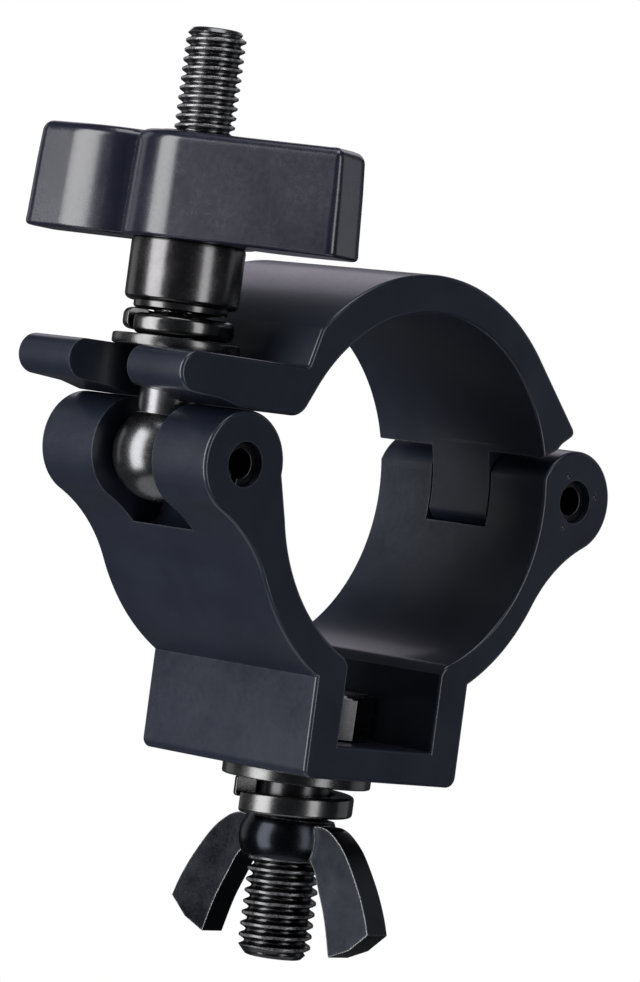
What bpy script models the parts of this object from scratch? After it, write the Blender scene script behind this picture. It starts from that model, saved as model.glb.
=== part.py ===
"""Pipe clamp for stage bars: hinged half clamp with an eyebolt knob and an M10 mounting bolt.

Frame: origin on the pipe axis at mid width, +Y along the pipe, -X the eyebolt side, +Z up.
Units are metres.
"""
import math

import bmesh
import bpy
from mathutils import Vector

MM = 0.001

WIDTH = 32.0 * MM
EDGE = 0.45 * MM
BORE_R = 24.2 * MM
BODY_OUT_R = 28.6 * MM
BODY_OUT_X = -0.7 * MM

EYE_X = -32.2 * MM
EYE_Z = 1.1 * MM
HINGE_X = 30.3 * MM
HINGE_Z = 1.9 * MM
KNUCKLE_R = 6.95 * MM
NECK_R = 20.0 * MM
PIN_HOLE_R = 2.95 * MM

BOX_HALF = 14.25 * MM
BOX_BOTTOM = -38.45 * MM
BOX_CORNER = 1.5 * MM
CHANNEL_HALF = 8.7 * MM
CHANNEL_FLOOR = -33.9 * MM
CHANNEL_LIP = 0.9 * MM
BOLT_HOLE_R = 5.4 * MM

EYE_SLOT_HALF = 5.8 * MM
EYE_SLOT_FLOOR = -8.2 * MM
EYE_WEB_X = -25.4 * MM
EYE_WEB_Z = -2.5 * MM
HINGE_SLOT_HALF = 5.75 * MM
HINGE_SLOT_R = 8.0 * MM

JAW_OUT_R = 28.2 * MM
JAW_OUT_X = -0.45 * MM
JAW_OUT_Z = 1.1 * MM
JAW_END_DEG = 17.5
JAW_TOP_START_DEG = 138.5
JAW_TOP_END_DEG = 42.0
JAW_START_DEG = 150.0
FLANGE_ROOT_R = 3.0 * MM
FLANGE_UNDER = 8.12 * MM
LUG_HALF = 5.45 * MM
FLANGE_TOP = 14.6 * MM
FLANGE_END_X = -42.6 * MM
FLANGE_END_R = 2.65 * MM
FORK_HALF = 5.6 * MM
FORK_INNER_X = -26.6 * MM

PIN_R = 2.93 * MM
PIN_BORE_R = 1.9 * MM
PIN_RECESS = 1.0 * MM
PIN_GAP_DEG = 24.0
LUG_BORE_R = 3.2 * MM

EYE_BALL_R = 6.35 * MM
EYE_FLAT_HALF = 5.3 * MM
SHANK_R = 3.9 * MM
STUD_TOP = 56.7 * MM
M8_MAJOR_R = 3.95 * MM
M8_MINOR_R = 3.3 * MM
M8_PITCH = 1.25 * MM
M8_START = 21.0 * MM

M10_MAJOR_R = 4.93 * MM
M10_MINOR_R = 4.15 * MM
M10_PITCH = 1.5 * MM
M10_START = -44.0 * MM
BOLT_END = -64.2 * MM
HEAD_FLATS = 16.8 * MM
HEAD_HEIGHT = 6.4 * MM

GAP = 0.03 * MM
SLEEVE_R = 7.5 * MM
SLEEVE_NECK_R = 6.2 * MM
SLEEVE_CORE_R = 5.6 * MM
SLEEVE_BORE_R = 4.2 * MM
SLEEVE_BOTTOM = 19.55 * MM
SLEEVE_SHOULDER = 20.5 * MM
SLEEVE_TOP = 38.0 * MM
WING_BOTTOM = 28.7 * MM
WING_TOP = 42.7 * MM
WING_TURN_DEG = -68.0
WING_HUB_R = 8.9 * MM
WING_TOP_STRETCH = 0.983

KNOB_WASHER_R = 8.4 * MM
KNOB_WASHER_TOP = 16.1 * MM
KNOB_COIL_R = 7.3 * MM
KNOB_COIL_THICK = 2.75 * MM
KNOB_COIL_RISE = 0.6 * MM
KNOB_COIL_SPLIT_DEG = 168.0
STUD_HOLE_R = 4.3 * MM

MOUNT_WASHER_R = 10.1 * MM
MOUNT_WASHER_BOTTOM = -40.3 * MM
MOUNT_COIL_R = 8.15 * MM
MOUNT_COIL_BOTTOM = -45.1 * MM
MOUNT_COIL_THICK = 2.8 * MM
MOUNT_COIL_RISE = 1.9 * MM
MOUNT_COIL_SPLIT_DEG = 157.0
BOLT_CLEAR_R = 5.3 * MM

NUT_TOP = -45.15 * MM
NUT_BORE_R = 5.18 * MM
NUT_HUB_R = 6.7 * MM
NUT_HEIGHT = 5.6 * MM
NUT_WING_HALF = 2.1 * MM
NUT_TURN_DEG = -84.0

SHARP_DEG = 32.0


def clear_scene():
    for obj in list(bpy.data.objects):
        bpy.data.objects.remove(obj, do_unlink=True)


def material(name, colour, metallic=1.0, roughness=0.3):
    mat = bpy.data.materials.new(name)
    mat.use_nodes = True
    shader = mat.node_tree.nodes["Principled BSDF"]
    shader.inputs["Base Color"].default_value = (*colour, 1.0)
    shader.inputs["Metallic"].default_value = metallic
    shader.inputs["Roughness"].default_value = roughness
    mat.diffuse_color = (*colour, 1.0)
    return mat


def link(name, verts, faces, mat):
    mesh = bpy.data.meshes.new(name)
    mesh.from_pydata(verts, [], faces)
    bm = bmesh.new()
    bm.from_mesh(mesh)
    bmesh.ops.recalc_face_normals(bm, faces=bm.faces)
    bm.to_mesh(mesh)
    bm.free()
    mesh.shade_smooth()
    mesh.set_sharp_from_angle(angle=math.radians(SHARP_DEG))
    obj = bpy.data.objects.new(name, mesh)
    bpy.context.scene.collection.objects.link(obj)
    if mat is not None:
        mesh.materials.append(mat)
    return obj


def arc(cx, cz, radius, start, end, count):
    points = []
    for i in range(count + 1):
        angle = math.radians(start + (end - start) * i / count)
        points.append((cx + radius * math.cos(angle), cz + radius * math.sin(angle)))
    return points


def angle_of(cx, cz, point):
    return math.degrees(math.atan2(point[1] - cz, point[0] - cx))


def circle_meet(ax, az, ar, bx, bz, br, upper):
    """One crossing of two circles; upper picks the crossing with the larger z."""
    dx = bx - ax
    dz = bz - az
    span = math.hypot(dx, dz)
    along = (ar * ar - br * br + span * span) / (2.0 * span)
    side = math.sqrt(max(ar * ar - along * along, 0.0))
    mx = ax + along * dx / span
    mz = az + along * dz / span
    pair = [(mx + side * dz / span, mz - side * dx / span),
            (mx - side * dz / span, mz + side * dx / span)]
    pair.sort(key=lambda p: p[1])
    return pair[1] if upper else pair[0]


def corner(p0, p1, p2, radius, count):
    """Round the corner p1 between two straight edges."""
    a = Vector(p0) - Vector(p1)
    b = Vector(p2) - Vector(p1)
    a.normalize()
    b.normalize()
    half = a.angle(b) / 2.0
    reach = radius / math.tan(half)
    mid = (a + b).normalized() * (radius / math.sin(half))
    centre = Vector(p1) + mid
    start = Vector(p1) + a * reach - centre
    end = Vector(p1) + b * reach - centre
    turn = math.atan2(start.x * end.y - start.y * end.x, start.dot(end))
    base = math.atan2(start.y, start.x)
    points = []
    for i in range(count + 1):
        angle = base + turn * i / count
        points.append((centre.x + radius * math.cos(angle), centre.y + radius * math.sin(angle)))
    return points


def tidy(points, least=0.02 * MM):
    kept = []
    for point in points:
        if not kept or math.dist(point, kept[-1]) > least:
            kept.append(point)
    if math.dist(kept[0], kept[-1]) <= least:
        kept.pop()
    return kept


def inset(points, depth):
    """Move a closed outline inwards by depth; the outline runs either way round."""
    total = len(points)
    area = sum(points[i - 1][0] * points[i][1] - points[i][0] * points[i - 1][1]
               for i in range(total))
    sign = 1.0 if area > 0.0 else -1.0
    moved = []
    for i in range(total):
        before = Vector(points[i]) - Vector(points[i - 1])
        after = Vector(points[(i + 1) % total]) - Vector(points[i])
        n0 = Vector((-before.y, before.x)).normalized() * sign
        n1 = Vector((-after.y, after.x)).normalized() * sign
        mitre = n0 + n1
        scale = 2.0 / max(mitre.length_squared, 0.8)
        moved.append((points[i][0] + mitre.x * depth * scale, points[i][1] + mitre.y * depth * scale))
    return moved


def skin(rings):
    """Faces between successive rings of equal length, with flat ends."""
    size = len(rings[0])
    verts = [v for ring in rings for v in ring]
    faces = []
    for r in range(len(rings) - 1):
        for i in range(size):
            j = (i + 1) % size
            faces.append((r * size + i, r * size + j, (r + 1) * size + j, (r + 1) * size + i))
    faces.append(tuple(range(size - 1, -1, -1)))
    faces.append(tuple(range((len(rings) - 1) * size, len(rings) * size)))
    return verts, faces


def prism(name, outline, y0, y1, mat, edge=EDGE):
    outline = tidy(outline)
    small = inset(outline, edge)
    rings = [[(x, y0, z) for x, z in small],
             [(x, y0 + edge, z) for x, z in outline],
             [(x, y1 - edge, z) for x, z in outline],
             [(x, y1, z) for x, z in small]]
    verts, faces = skin(rings)
    return link(name, verts, faces, mat)


def cutter_y(name, outline, y0, y1):
    """A plain outline in XZ drawn out along Y."""
    verts, faces = skin([[(x, y0, z) for x, z in outline], [(x, y1, z) for x, z in outline]])
    return link(name, verts, faces, None)


def cutter_z(name, outline, z0, z1):
    """A plain outline in XY drawn out along Z."""
    verts, faces = skin([[(x, y, z0) for x, y in outline], [(x, y, z1) for x, y in outline]])
    return link(name, verts, faces, None)


def rod_y(name, cx, cz, radius, half, count=28):
    return cutter_y(name, arc(cx, cz, radius, 0.0, 360.0, count)[:-1], -half, half)


def circle_ring(radius, z, count):
    return [(x, y, z) for x, y in arc(0.0, 0.0, radius, 0.0, 360.0, count)[:-1]]


def lathe(name, profile, mat, count=36):
    """Spin a closed (radius, z) loop about the local Z axis."""
    verts = []
    faces = []
    size = len(profile)
    for i in range(count):
        angle = 2.0 * math.pi * i / count
        for radius, z in profile:
            verts.append((radius * math.cos(angle), radius * math.sin(angle), z))
    for i in range(count):
        j = (i + 1) % count
        for k in range(size):
            m = (k + 1) % size
            faces.append((i * size + k, j * size + k, j * size + m, i * size + m))
    return link(name, verts, faces, mat)


def thread_rings(z0, z1, minor, major, pitch, limit, count):
    """Rings of a helical thread, three to a pitch; limit(z) caps the radius at the tip."""
    rings = []
    steps = int((z1 - z0) / (pitch / 3.0))
    for s in range(steps + 1):
        z = z0 + s * pitch / 3.0
        ring = []
        for i in range(count):
            angle = 2.0 * math.pi * i / count
            wave = 1.0 - abs(2.0 * ((z / pitch - i / count) % 1.0) - 1.0)
            rise = min(max(1.35 * wave - 0.12, 0.0), 1.0)
            radius = min(minor + (major - minor) * rise, limit(z))
            ring.append((radius * math.cos(angle), radius * math.sin(angle), z))
        rings.append(ring)
    return rings


def cut(target, cutter):
    boolean(target, cutter, "DIFFERENCE")


def join(target, other):
    boolean(target, other, "UNION")


def boolean(target, other, kind):
    mod = target.modifiers.new("bool_" + other.name, "BOOLEAN")
    mod.operation = kind
    mod.solver = "EXACT"
    mod.object = other
    other.hide_render = True
    other.display_type = "WIRE"


def neck_fillet(cx, cz):
    """Hollow between a knuckle and the outer arc of the body."""
    mid = circle_meet(cx, cz, KNUCKLE_R + NECK_R, BODY_OUT_X, 0.0, BODY_OUT_R + NECK_R, False)
    first = angle_of(mid[0], mid[1], (cx, cz))
    turn = (angle_of(mid[0], mid[1], (BODY_OUT_X, 0.0)) - first) % 360.0
    if turn > 180.0:
        turn -= 360.0
    return arc(mid[0], mid[1], NECK_R, first, first + turn, 7)


def body_outline():
    right_top = circle_meet(0.0, 0.0, BORE_R, HINGE_X, HINGE_Z, KNUCKLE_R, True)
    lip = math.sqrt(BORE_R ** 2 - (CHANNEL_HALF + CHANNEL_LIP) ** 2)
    points = []
    start = angle_of(0.0, 0.0, (-(CHANNEL_HALF + CHANNEL_LIP), -lip))
    points += arc(0.0, 0.0, BORE_R, start % 360.0, 193.0, 18)
    hollow = neck_fillet(EYE_X, EYE_Z)
    last = angle_of(EYE_X, EYE_Z, hollow[0]) % 360.0
    points += arc(EYE_X, EYE_Z, KNUCKLE_R, -6.0, last, 24)
    points += hollow
    start = angle_of(BODY_OUT_X, 0.0, hollow[-1]) % 360.0
    side_z = -math.sqrt(BODY_OUT_R ** 2 - (BOX_HALF + BODY_OUT_X) ** 2)
    end = angle_of(BODY_OUT_X, 0.0, (-BOX_HALF, side_z)) % 360.0
    points += arc(BODY_OUT_X, 0.0, BODY_OUT_R, start, end, 8)
    points += corner((-BOX_HALF, side_z), (-BOX_HALF, BOX_BOTTOM), (0.0, BOX_BOTTOM), BOX_CORNER, 4)
    points += corner((0.0, BOX_BOTTOM), (BOX_HALF, BOX_BOTTOM), (BOX_HALF, side_z), BOX_CORNER, 4)
    side_z = -math.sqrt(BODY_OUT_R ** 2 - (BOX_HALF - BODY_OUT_X) ** 2)
    start = angle_of(BODY_OUT_X, 0.0, (BOX_HALF, side_z))
    hollow = neck_fillet(HINGE_X, HINGE_Z)
    hollow.reverse()
    end = angle_of(BODY_OUT_X, 0.0, hollow[0])
    points += arc(BODY_OUT_X, 0.0, BODY_OUT_R, start, end, 8)
    points += hollow
    first = angle_of(HINGE_X, HINGE_Z, hollow[-1])
    last = angle_of(HINGE_X, HINGE_Z, right_top) % 360.0
    points += arc(HINGE_X, HINGE_Z, KNUCKLE_R, first, last, 24)
    start = angle_of(0.0, 0.0, right_top)
    end = angle_of(0.0, 0.0, (CHANNEL_HALF + CHANNEL_LIP, -lip))
    points += arc(0.0, 0.0, BORE_R, start, end, 20)
    points.append((CHANNEL_HALF, -lip - CHANNEL_LIP * 1.2))
    points.append((CHANNEL_HALF, CHANNEL_FLOOR))
    points.append((-CHANNEL_HALF, CHANNEL_FLOOR))
    points.append((-CHANNEL_HALF, -lip - CHANNEL_LIP * 1.2))
    return points


def lower_body():
    mat = material("body_powder_coat", (0.016, 0.018, 0.026), 0.0, 0.42)
    obj = prism("lower_body", body_outline(), -WIDTH / 2, WIDTH / 2, mat)
    slot = corner((-45.0 * MM, EYE_SLOT_FLOOR), (EYE_WEB_X, EYE_SLOT_FLOOR), (EYE_WEB_X, EYE_WEB_Z),
                  2.5 * MM, 4)
    slot += [(EYE_WEB_X, EYE_WEB_Z), (-20.0 * MM, EYE_WEB_Z), (-20.0 * MM, 12.0 * MM),
             (-45.0 * MM, 12.0 * MM), (-45.0 * MM, EYE_SLOT_FLOOR)]
    cut(obj, cutter_y("cut_eye_slot", slot, -EYE_SLOT_HALF, EYE_SLOT_HALF))
    cut(obj, rod_y("cut_hinge_slot", HINGE_X, HINGE_Z, HINGE_SLOT_R, HINGE_SLOT_HALF, 40))
    cut(obj, rod_y("cut_eye_pin", EYE_X, EYE_Z, PIN_HOLE_R, WIDTH))
    cut(obj, rod_y("cut_hinge_pin", HINGE_X, HINGE_Z, PIN_HOLE_R, WIDTH))
    hole = arc(0.0, 0.0, BOLT_HOLE_R, 0.0, 360.0, 40)[:-1]
    cut(obj, cutter_z("cut_bolt_hole", hole, BOX_BOTTOM - 5.0 * MM, CHANNEL_FLOOR + 5.0 * MM))
    return obj


def jaw_outline():
    points = arc(0.0, 0.0, BORE_R, JAW_END_DEG, JAW_START_DEG, 34)
    tangent = math.radians(JAW_START_DEG + 90.0)
    reach = (FLANGE_UNDER - points[-1][1]) / math.sin(tangent)
    root = (points[-1][0] + reach * math.cos(tangent), FLANGE_UNDER)
    points += corner(points[-1], root, (-34.0 * MM, FLANGE_UNDER), FLANGE_ROOT_R, 6)
    points.append((-34.0 * MM, FLANGE_UNDER))
    points.append((-37.5 * MM, 8.9 * MM))
    centre_z = FLANGE_TOP - FLANGE_END_R
    points += arc(FLANGE_END_X, centre_z, FLANGE_END_R, 262.0, 90.0, 10)
    points += corner((-40.0 * MM, FLANGE_TOP), (-23.2 * MM, FLANGE_TOP), (-21.3 * MM, 19.1 * MM),
                     0.6 * MM, 4)
    points += arc(JAW_OUT_X, JAW_OUT_Z, JAW_OUT_R, JAW_TOP_START_DEG, JAW_TOP_END_DEG, 24)
    points.append((28.35 * MM, 11.75 * MM))
    points.append((28.5 * MM, 11.2 * MM))
    points.append((28.2 * MM, 10.6 * MM))
    points.append((26.6 * MM, 9.5 * MM))
    points.append((25.6 * MM, 8.5 * MM))
    points.append((23.9 * MM, 7.7 * MM))
    return points


def lug_outline():
    low = circle_meet(0.0, 0.0, BORE_R, HINGE_X, HINGE_Z, KNUCKLE_R, False)
    points = arc(0.0, 0.0, BORE_R, 22.0, angle_of(0.0, 0.0, low), 8)
    first = angle_of(HINGE_X, HINGE_Z, low) % 360.0
    points += arc(HINGE_X, HINGE_Z, KNUCKLE_R, first, 360.0 + 88.0, 24)
    points.append((28.2 * MM, 11.0 * MM))
    points.append((25.2 * MM, 12.6 * MM))
    return points


def upper_jaw():
    mat = material("jaw_powder_coat", (0.016, 0.018, 0.026), 0.0, 0.42)
    outline = [(x - HINGE_X, z - HINGE_Z) for x, z in jaw_outline()]
    obj = prism("upper_jaw", outline, -WIDTH / 2, WIDTH / 2, mat)
    obj.location = (HINGE_X, 0.0, HINGE_Z)
    join(obj, prism("add_lug", lug_outline(), -LUG_HALF, LUG_HALF, None, 0.3 * MM))
    cut(obj, rod_y("cut_lug_bore", HINGE_X, HINGE_Z, LUG_BORE_R, WIDTH))
    fork_x = FORK_INNER_X - FORK_HALF
    far_x = FLANGE_END_X - 8.0 * MM
    fork = [(far_x, -FORK_HALF), (fork_x, -FORK_HALF)]
    fork += arc(fork_x, 0.0, FORK_HALF, -84.0, 84.0, 14)
    fork += [(fork_x, FORK_HALF), (far_x, FORK_HALF)]
    cut(obj, cutter_z("cut_fork", fork, 0.0, FLANGE_TOP + 5.0 * MM))
    return obj


def roll_pin(name, cx, cz, slot_deg):
    """A hollow pin with an open slit along its length."""
    mat = material(name + "_steel", (0.10, 0.10, 0.105), 1.0, 0.35)
    first = slot_deg + PIN_GAP_DEG / 2
    last = slot_deg + 360.0 - PIN_GAP_DEG / 2
    outline = arc(0.0, 0.0, PIN_R, first, last, 18)
    outline += arc(0.0, 0.0, PIN_BORE_R, last, first, 18)
    half = WIDTH / 2 - PIN_RECESS
    obj = prism(name, outline, -half, half, mat, 0.18 * MM)
    obj.location = (cx, 0.0, cz)
    return obj


def eyebolt():
    """Ball end with two flats, plain shank and a threaded stud; local origin on the pin's axis."""
    mat = material("eyebolt_zinc", (0.05, 0.05, 0.055))
    count = 16
    rings = []
    for i in range(17):
        angle = math.radians(-88.6 + 146.6 * i / 16)
        rings.append(circle_ring(EYE_BALL_R * math.cos(angle), EYE_BALL_R * math.sin(angle), count))
    for radius, z in ((SHANK_R, 6.3 * MM), (SHANK_R, 17.2 * MM), (M8_MINOR_R, 18.2 * MM)):
        rings.append(circle_ring(radius, z, count))
    top = STUD_TOP - EYE_Z
    rings += thread_rings(M8_START - EYE_Z, top - 0.3 * MM, M8_MINOR_R, M8_MAJOR_R, M8_PITCH,
                          lambda z: M8_MINOR_R + (top - z) * 0.75, count)
    rings.append(circle_ring(2.75 * MM, top, count))
    verts, faces = skin(rings)
    obj = link("eyebolt", verts, faces, mat)
    obj.location = (EYE_X, 0.0, EYE_Z)
    side = [(EYE_X - 8.0 * MM, EYE_Z - 8.0 * MM), (EYE_X + 8.0 * MM, EYE_Z - 8.0 * MM),
            (EYE_X + 8.0 * MM, EYE_Z + 8.0 * MM), (EYE_X - 8.0 * MM, EYE_Z + 8.0 * MM)]
    cut(obj, cutter_y("cut_eye_flat_near", side, -9.0 * MM, -EYE_FLAT_HALF))
    cut(obj, cutter_y("cut_eye_flat_far", side, EYE_FLAT_HALF, 9.0 * MM))
    cut(obj, rod_y("cut_eye_bore", EYE_X, EYE_Z, LUG_BORE_R, WIDTH))
    return obj


def wing_outline():
    """One half of the grip seen from above, then turned half way round for the other."""
    half = arc(0.0, 0.0, WING_HUB_R, 155.0, 83.4, 7)
    half += arc(21.96 * MM, 5.01 * MM, 1.4 * MM, 83.4, 4.0, 4)
    half.append((23.7 * MM, 0.6 * MM))
    half += arc(21.3 * MM, -0.8 * MM, 2.2 * MM, 0.0, -76.0, 4)
    half += arc(14.03 * MM, 9.89 * MM, 14.33 * MM, -76.0, -101.0, 3)
    half += arc(12.64 * MM, 2.69 * MM, 7.0 * MM, -105.0, -121.0, 2)
    half.append((8.45 * MM, -3.1 * MM))
    other = [(-x, -y) for x, y in half]
    return [(x, -y) for x, y in tidy(half + other)]


def wing_level(outline, z, depth, stretch):
    turn = math.radians(WING_TURN_DEG)
    ring = []
    for x, y in inset(outline, depth):
        x *= stretch
        ring.append((x * math.cos(turn) - y * math.sin(turn),
                     x * math.sin(turn) + y * math.cos(turn), z))
    return ring


def knob_handle():
    mat = material("knob_satin", (0.014, 0.016, 0.026), 0.0, 0.36)
    outline = wing_outline()
    levels = [(WING_BOTTOM, 1.1, 1.0), (WING_BOTTOM + 0.5 * MM, 0.3, 1.0),
              (WING_BOTTOM + 1.6 * MM, 0.0, 1.0),
              (WING_TOP - 1.5 * MM, 0.35, WING_TOP_STRETCH),
              (WING_TOP - 0.45 * MM, 0.75, WING_TOP_STRETCH), (WING_TOP, 1.6, WING_TOP_STRETCH)]
    rings = [wing_level(outline, z, depth * MM, stretch) for z, depth, stretch in levels]
    verts, faces = skin(rings)
    obj = link("knob_handle", verts, faces, mat)
    obj.location = (EYE_X, 0.0, 0.0)
    core = SLEEVE_CORE_R + 0.3 * MM
    bore = SLEEVE_BORE_R + 0.3 * MM
    mouth = SLEEVE_BORE_R + 0.9 * MM
    core_top = SLEEVE_TOP + 0.3 * MM
    profile = [(core, WING_BOTTOM - 2.0 * MM), (core, core_top), (bore, core_top),
               (bore, WING_TOP - 0.6 * MM), (mouth, WING_TOP), (mouth, WING_TOP + 2.0 * MM)]
    verts, faces = skin([circle_ring(radius, z, 40) for radius, z in profile])
    hollow = link("cut_knob_core", verts, faces, None)
    hollow.location = (EYE_X, 0.0, 0.0)
    cut(obj, hollow)
    return obj


def knob_sleeve():
    mat = material("sleeve_black_oxide", (0.03, 0.03, 0.034), 1.0, 0.22)
    edge = 0.5 * MM
    profile = [(SLEEVE_BORE_R + 0.4 * MM, SLEEVE_BOTTOM),
               (SLEEVE_NECK_R, SLEEVE_BOTTOM),
               (SLEEVE_NECK_R, SLEEVE_SHOULDER),
               (SLEEVE_R - edge, SLEEVE_SHOULDER),
               (SLEEVE_R, SLEEVE_SHOULDER + edge),
               (SLEEVE_R, WING_BOTTOM - GAP),
               (SLEEVE_CORE_R, WING_BOTTOM - GAP),
               (SLEEVE_CORE_R, SLEEVE_TOP),
               (SLEEVE_BORE_R, SLEEVE_TOP),
               (SLEEVE_BORE_R, SLEEVE_BOTTOM + 0.4 * MM)]
    obj = lathe("knob_sleeve", profile, mat)
    obj.location = (EYE_X, 0.0, 0.0)
    return obj


def flat_washer(name, slot, outer, inner, bottom, top, cx):
    mat = material(slot, (0.06, 0.06, 0.065))
    edge = 0.2 * MM
    profile = [(inner, bottom), (outer - edge, bottom), (outer, bottom + edge), (outer, top - edge),
               (outer - edge, top), (inner, top)]
    obj = lathe(name, profile, mat)
    obj.location = (cx, 0.0, 0.0)
    return obj


def spring_washer(name, slot, outer, inner, bottom, thick, rise, cx, start_deg):
    """Split lock washer: a square coil of one turn with a small open gap."""
    mat = material(slot, (0.06, 0.06, 0.065))
    rings = []
    count = 32
    gap = 14.0
    edge = 0.18 * MM
    for i in range(count + 1):
        angle = math.radians(start_deg + gap / 2 + (360.0 - gap) * i / count)
        low = bottom + rise * i / count
        high = low + thick
        section = [(inner, low + edge), (inner + edge, low), (outer - edge, low),
                   (outer, low + edge), (outer, high - edge), (outer - edge, high),
                   (inner + edge, high), (inner, high - edge)]
        rings.append([(r * math.cos(angle), r * math.sin(angle), z) for r, z in section])
    verts, faces = skin(rings)
    obj = link(name, verts, faces, mat)
    obj.location = (cx, 0.0, 0.0)
    return obj


def hexagon(z, limit, count):
    """A hexagon ring, corners towards +Y and -Y, with its corners cut back to limit."""
    ring = []
    for i in range(count):
        degrees = 360.0 * i / count
        off = math.radians(((degrees + 30.0) % 60.0) - 30.0)
        radius = min((HEAD_FLATS / 2) / math.cos(off), limit)
        angle = math.radians(degrees)
        ring.append((radius * math.cos(angle), radius * math.sin(angle), z))
    return ring


def mount_bolt():
    mat = material("bolt_zinc", (0.05, 0.05, 0.055))
    count = 18
    head_low = CHANNEL_FLOOR + GAP
    head_top = head_low + HEAD_HEIGHT
    reach = HEAD_FLATS / math.sqrt(3.0)
    tip = 3.5 * MM
    rings = [circle_ring(tip, BOLT_END, count)]
    rings += thread_rings(BOLT_END + 0.5 * MM, M10_START, M10_MINOR_R, M10_MAJOR_R, M10_PITCH,
                          lambda z: tip + (z - BOLT_END) * 0.8, count)
    for radius, z in ((M10_MINOR_R, M10_START + 0.35 * MM), (M10_MAJOR_R, M10_START + 1.0 * MM),
                      (M10_MAJOR_R, head_low)):
        rings.append(circle_ring(radius, z, count))
    rings.append(hexagon(head_low, HEAD_FLATS / 2 * 1.02, count))
    rings.append(hexagon(head_low + 0.3 * MM, reach, count))
    rings.append(hexagon(head_top - 0.8 * MM, reach, count))
    rings.append(hexagon(head_top, HEAD_FLATS / 2 * 0.98, count))
    verts, faces = skin(rings)
    return link("mount_bolt", verts, faces, mat)


def nut_wing(side):
    """One wing of the nut; radius out and height below the nut's top."""
    outline = [(5.9, -0.5), (7.6, -0.5), (9.4, -1.3), (11.8, -3.4), (14.6, -7.4), (16.4, -10.8),
               (17.4, -13.4), (14.6, -15.9), (11.2, -17.4), (9.7, -12.6), (8.0, -8.8), (6.9, -6.4),
               (5.9, -5.2)]
    outline = [(x * MM * side, NUT_TOP + z * MM) for x, z in outline]
    wing = prism("add_wing_%d" % side, outline, -NUT_WING_HALF, NUT_WING_HALF, None, 0.5 * MM)
    wing.rotation_euler = (0.0, 0.0, math.radians(NUT_TURN_DEG))
    return wing


def wing_nut():
    mat = material("wing_nut_black", (0.02, 0.02, 0.022), 1.0, 0.45)
    low = NUT_TOP - NUT_HEIGHT
    profile = [(NUT_BORE_R, NUT_TOP), (NUT_HUB_R - 0.4 * MM, NUT_TOP),
               (NUT_HUB_R, NUT_TOP - 0.4 * MM), (NUT_HUB_R, NUT_TOP - 2.4 * MM),
               (NUT_HUB_R - 0.3 * MM, low + 0.6 * MM), (NUT_HUB_R - 0.7 * MM, low),
               (NUT_BORE_R, low)]
    obj = lathe("wing_nut", profile, mat)
    join(obj, nut_wing(1))
    join(obj, nut_wing(-1))
    return obj


def build():
    clear_scene()
    lower_body()
    upper_jaw()
    roll_pin("hinge_pin", HINGE_X, HINGE_Z, 200.0)
    roll_pin("eyebolt_pin", EYE_X, EYE_Z, 250.0)
    eyebolt()
    knob_handle()
    knob_sleeve()
    flat_washer("knob_flat_washer", "washer_zinc", KNOB_WASHER_R, STUD_HOLE_R,
                FLANGE_TOP + GAP, KNOB_WASHER_TOP, EYE_X)
    spring_washer("knob_spring_washer", "coil_zinc", KNOB_COIL_R, STUD_HOLE_R,
                  KNOB_WASHER_TOP + GAP, KNOB_COIL_THICK, KNOB_COIL_RISE, EYE_X, KNOB_COIL_SPLIT_DEG)
    mount_bolt()
    flat_washer("mount_flat_washer", "mount_washer_zinc", MOUNT_WASHER_R, BOLT_CLEAR_R,
                MOUNT_WASHER_BOTTOM, BOX_BOTTOM - GAP, 0.0)
    spring_washer("mount_spring_washer", "mount_coil_zinc", MOUNT_COIL_R, BOLT_CLEAR_R,
                  MOUNT_COIL_BOTTOM, MOUNT_COIL_THICK, MOUNT_COIL_RISE, 0.0, MOUNT_COIL_SPLIT_DEG)
    wing_nut()


build()
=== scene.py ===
"""Pipe clamp for stage bars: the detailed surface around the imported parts.

The clamp's sizes are in millimetres, and link() turns them into the frame's metres. Lights, floor and
camera are placed in metres. The origin is on the pipe's axis, +Y along the pipe, -X the eyebolt side
and +Z up.
"""
import math

import bmesh
import bpy
from mathutils import Matrix, Vector


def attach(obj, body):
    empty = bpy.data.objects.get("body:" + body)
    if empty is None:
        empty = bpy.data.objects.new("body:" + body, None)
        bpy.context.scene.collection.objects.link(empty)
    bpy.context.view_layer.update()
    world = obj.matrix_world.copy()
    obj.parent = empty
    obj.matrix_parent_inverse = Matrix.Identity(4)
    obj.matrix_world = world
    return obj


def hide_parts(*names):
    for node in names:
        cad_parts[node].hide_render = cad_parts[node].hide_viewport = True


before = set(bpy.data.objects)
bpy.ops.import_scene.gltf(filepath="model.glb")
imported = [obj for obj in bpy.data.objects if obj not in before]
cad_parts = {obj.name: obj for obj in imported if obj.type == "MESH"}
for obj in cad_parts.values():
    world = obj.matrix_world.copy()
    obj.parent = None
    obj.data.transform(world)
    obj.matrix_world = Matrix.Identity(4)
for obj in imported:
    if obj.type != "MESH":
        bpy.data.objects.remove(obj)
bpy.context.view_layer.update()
MM = 0.001

# Body and jaw
WIDTH = 32.0
BODY_EDGE = 0.5
BORE_R = 24.2
BODY_OUT_R = 28.6
BODY_OUT_X = -0.7
JAW_OUT_R = 28.2
EYE = (-32.2, 1.1)
HINGE = (30.3, 1.9)
KNUCKLE_R = 6.95
NECK_R = 20.0
BOX_HALF = 14.25
BOX_BOTTOM = -38.45
CHANNEL_HALF = 8.7
CHANNEL_FLOOR = -33.9
CHANNEL_LIP = 0.9
FLANGE_TOP = 14.6
FLANGE_UNDER = 8.12
FLANGE_TIP_R = 2.65
FORK_HALF = 5.6
SLOT_HALF = 5.8
SLOT_FLOOR = -8.2
SLOT_BACK = -25.4
LUG_HALF = 5.45
LUG_GAP_HALF = 5.75

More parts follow.
